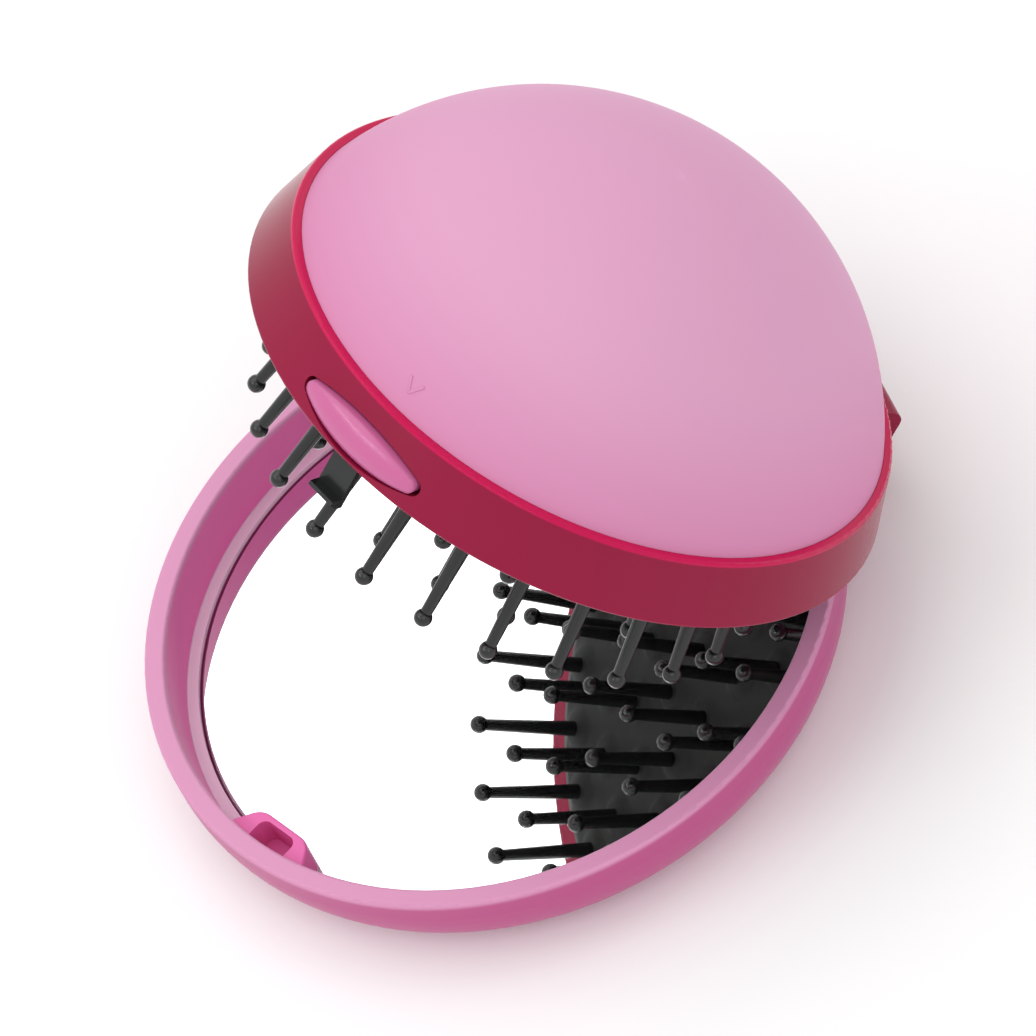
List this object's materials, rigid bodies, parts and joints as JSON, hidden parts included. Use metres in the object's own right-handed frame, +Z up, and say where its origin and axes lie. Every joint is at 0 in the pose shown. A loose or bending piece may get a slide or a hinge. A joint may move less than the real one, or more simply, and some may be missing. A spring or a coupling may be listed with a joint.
{
  "type": "pop-up styling brush",
  "caption": "Round compact hair brush: domed case with a pop-up pad of ball-tipped pins, a push-button latch and a hinged mirror lid.",
  "frame": {"origin": "centre of the lid's flat underside, which lies on the table", "axes": "+Z up out of the mirror, +Y towards the hinge, +X along the hinge axis"},
  "size_m": [0.074, 0.0845, 0.0659],
  "materials": {
    "pink_shell": "satin moulded",
    "mirror": "polished",
    "tape": "matte",
    "steel": "brushed",
    "magenta_band": "glossy moulded",
    "natural_plastic": "matte moulded",
    "black_plastic": "satin moulded",
    "black_rubber": "matte",
    "button_pink": "glossy moulded"
  },
  "bodies": {
    "mirror_lid": {"lid_shell": "pink_shell", "mirror_glass": "mirror", "mirror_tape": "tape", "hinge_pin": "steel"},
    "brush_body": {"rim_band": "magenta_band", "dome_cover": "pink_shell", "stop_washer": "steel", "stop_screw": "steel", "pop_spring": "steel", "button_guide": "natural_plastic", "button_spring": "steel"},
    "bristle_head": {"head_plate": "black_plastic", "stem_plug": "black_plastic", "cushion": "black_rubber", "pin_row_0": "black_plastic", "pin_row_1": "black_plastic", "pin_row_2": "black_plastic", "pin_row_3": "black_plastic", "pin_row_4": "black_plastic"},
    "release_button": {"button_cap": "button_pink", "latch_arm": "black_plastic"}
  },
  "joints": [
    {"name": "lid_hinge", "type": "hinge", "parent": "mirror_lid", "child": "brush_body", "pos_m": [0, 0.0382, 0.0026], "axis": [-1, 0, 0], "range_deg": [-44.8, 26.5]},
    {"name": "head_pop", "type": "slide", "parent": "brush_body", "child": "bristle_head", "axis": [0, -0.7046, -0.7096], "range_m": [-0.0083, 0.00491], "deforming": ["pop_spring"]},
    {"name": "button_press", "type": "slide", "parent": "brush_body", "child": "release_button", "axis": [-0.3746, 0.6579, -0.6533], "range_m": [0, 0.0009], "stiffness_N_per_m": 800, "springref_m": -0.001, "deforming": ["button_spring"]}
  ],
  "couplings": [
    {"joint": "head_pop", "follows": "lid_hinge", "m_per_rad": 0.010615}
  ]
}
